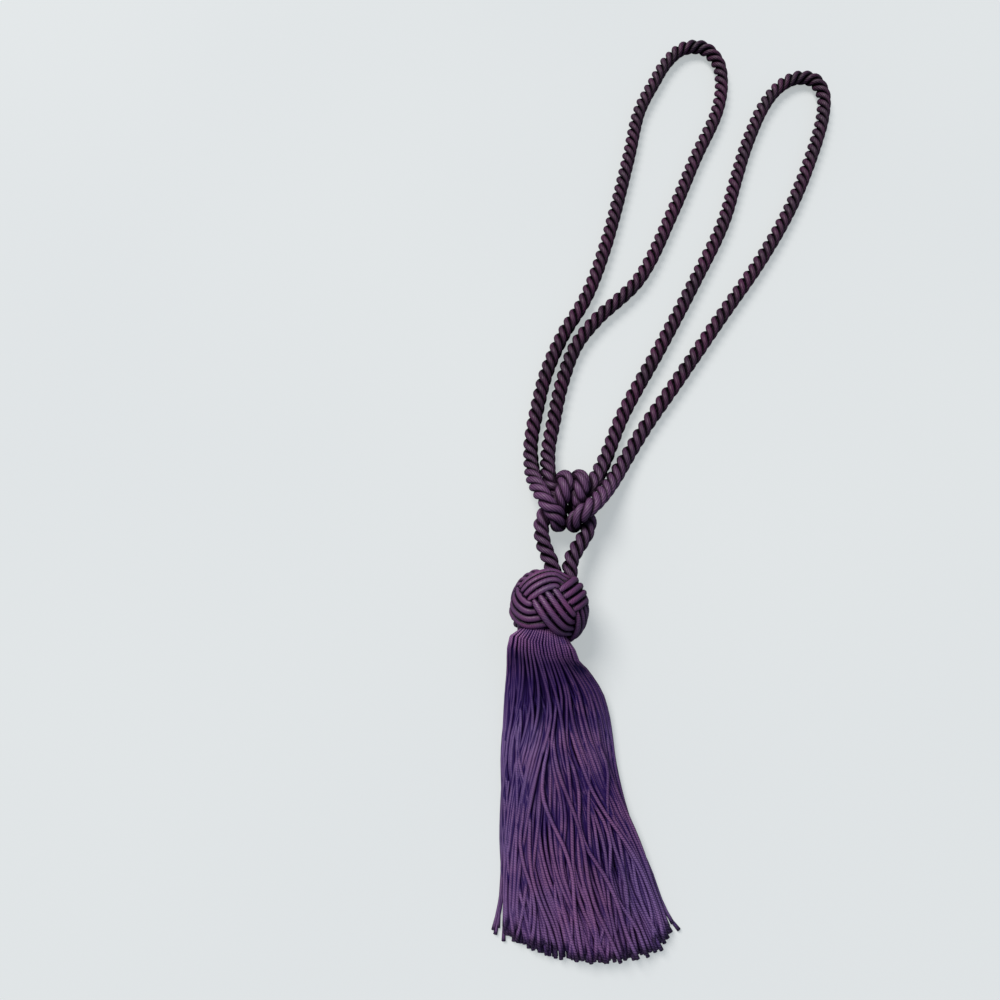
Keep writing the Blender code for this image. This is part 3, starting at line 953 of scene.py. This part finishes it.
def layerStrands(chance):
    # the layers from the floor up, as lines with their tones
    strands = []
    for layer, (count, level) in enumerate(skirt["layers"]):
        for number in range(count):
            share = (2 * number + 1 + 0.5 * (layer % 2)) / count - 1
            share = max(-1.0, min(1.0, share + chance.uniform(-0.5, 0.5) / count))
            wave = skirt["layerWave"] * math.sin(7.3 * share + 2.1 * layer)
            shares = [max(-1.0, min(1.0, share + part * wave)) for part in (0, 0.3, 1, 1)]
            line = strandLine(share, level, shares, level, (0, 60, 0), chance)
            # lower layers get lower tones, painted shade on the strands underneath, with a random part
            strands.append((line, 0.5 * level + chance.uniform(0, 0.25)))
    return strands


def topStrands(chance):
    # the locks and the loose strands, side by side at the root in the order of their courses
    strands = []
    courses = topCourses(chance)
    for number, (shares, level, wave) in enumerate(courses):
        rootShare = (2 * number + 1 + chance.uniform(-1.8, 1.8)) / len(courses) - 1
        rootShare = max(-1.0, min(1.0, rootShare))
        row = number % skirt["rootRows"]
        rootLevel = skirt["rootLevel"] - (skirt["rootDrop"] + skirt["rootStep"] * row if row else 0.0)
        line = strandLine(rootShare, rootLevel, shares, level, wave, chance)
        # locks lying lower get lower tones, painted shade, with a random part
        strands.append((line, chance.uniform(0.4, 1.0) * max(0.35, min(1.0, 2.0 * (level - 0.4)))))
    return strands


def strayStrands():
    strands = []
    low = skirt["strandRadius"] * skirt["tipFlare"] + 0.02
    for stray in skirt["strays"]:
        heights = [max(low, skirt["strayHigh"] - skirt["strayFall"] * k) for k in range(len(stray))]
        points = [(x, y, z) for (x, y), z in zip(stray, heights)]
        strands.append((evenSteps(smoothLine(points, 8), skirt["step"]), skirt["strayTone"]))
    return strands


def strandWidths(line, full):
    # a strand's thickness at each point: thin in the head, full in the body and flared at the cut end
    widths = np.interp(np.arange(len(line)), (0, 5, 12), (skirt["rootThin"], 1.0, full))
    widths[-1] = skirt["tipFlare"]
    return widths


def makeSkirt():
    chance = random.Random(11)
    lines, tones, widths = [], [], []
    parts = ((layerStrands(chance), 1.0), (topStrands(chance), skirt["topThick"]), (strayStrands(), 1.0))
    for strands, full in parts:
        for line, tone in strands:
            lines.append(line)
            tones.append(tone)
            widths.append(strandWidths(line, full))
    mesh = tubesMesh("skirt", lines, skirt["strandRadius"] * mm, 1, widths)
    finishTubes(mesh, tones, skirt["shelterReach"])
    addPiece("skirtStrands", mesh, fibreMaterial("skirtFibre", skirt["finish"]), "skirt", "skirt")
    print("skirt made,", len(lines), "strands")


makeSkirt()

# floor and light
floor = {
    "size": 4.0,
    "below": 0.2 * mm,
    "cloudScale": 3.0,
    "cloudEdge": (0.3, 0.7),
    "rough": 0.7,
    "shine": 0.2,
    "glow": (0.41, 0.435, 0.435),
    "glowStrength": 1.0,
    # its colour, and a painted shade in soft clouds across it
    "colour": (0.36, 0.375, 0.37),
    "shade": (0.34, 0.355, 0.355),
    "bounce": (0.16, 0.16, 0.18),  # what it sends back onto the tassel
}
light = {"from": (-0.45, 0.55, 0.9), "angle": 30, "power": 3.0, "colour": (1.0, 0.95, 0.92)}
room = {"colour": (0.68, 0.76, 1.0), "strength": 0.28}


def makeFloor():
    bm = bmesh.new()
    bmesh.ops.create_grid(bm, x_segments=1, y_segments=1, size=floor["size"] / 2)
    bmesh.ops.translate(bm, verts=bm.verts, vec=(0, 0, -floor["below"]))
    mesh = bpy.data.meshes.new("floor")
    bm.to_mesh(mesh)
    bm.free()
    plane = bpy.data.objects.new("floor", mesh)
    scene.collection.objects.link(plane)
    material = bpy.data.materials.new("paleFloor")
    material.use_nodes = True
    tree = material.node_tree
    shader = tree.nodes["Principled BSDF"]
    place = tree.nodes.new("ShaderNodeTexCoord")
    clouds = noiseNode(tree, place.outputs["Object"], floor["cloudScale"], 1.0)
    clouds = rangeNode(tree, clouds, *floor["cloudEdge"], 0.0, 1.0)
    tree.links.new(mixNode(tree, clouds, floor["colour"], floor["shade"]), shader.inputs["Base Color"])
    shader.inputs["Roughness"].default_value = floor["rough"]
    shader.inputs["Specular IOR Level"].default_value = floor["shine"]
    shader.inputs["Emission Color"].default_value = (*floor["glow"], 1)
    shader.inputs["Emission Strength"].default_value = floor["glowStrength"]
    dull = tree.nodes.new("ShaderNodeBsdfDiffuse")
    dull.inputs["Color"].default_value = (*floor["bounce"], 1)
    path = tree.nodes.new("ShaderNodeLightPath")
    either = tree.nodes.new("ShaderNodeMixShader")
    tree.links.new(path.outputs["Is Camera Ray"], either.inputs[0])
    tree.links.new(dull.outputs[0], either.inputs[1])
    tree.links.new(shader.outputs[0], either.inputs[2])
    tree.links.new(either.outputs[0], tree.nodes["Material Output"].inputs["Surface"])
    mesh.materials.append(material)


def makeLights():
    data = bpy.data.lights.new("softLight", "SUN")
    data.energy = light["power"]
    data.angle = math.radians(light["angle"])
    data.color = light["colour"]
    lamp = bpy.data.objects.new("softLight", data)
    lamp.location = light["from"]
    lamp.rotation_euler = Vector(light["from"]).to_track_quat("Z", "Y").to_euler()
    scene.collection.objects.link(lamp)
    world = bpy.data.worlds.new("room")
    world.use_nodes = True
    glow = world.node_tree.nodes["Background"]
    glow.inputs["Color"].default_value = (*room["colour"], 1)
    glow.inputs["Strength"].default_value = room["strength"]
    scene.world = world


makeFloor()
makeLights()
print("floor and light made")
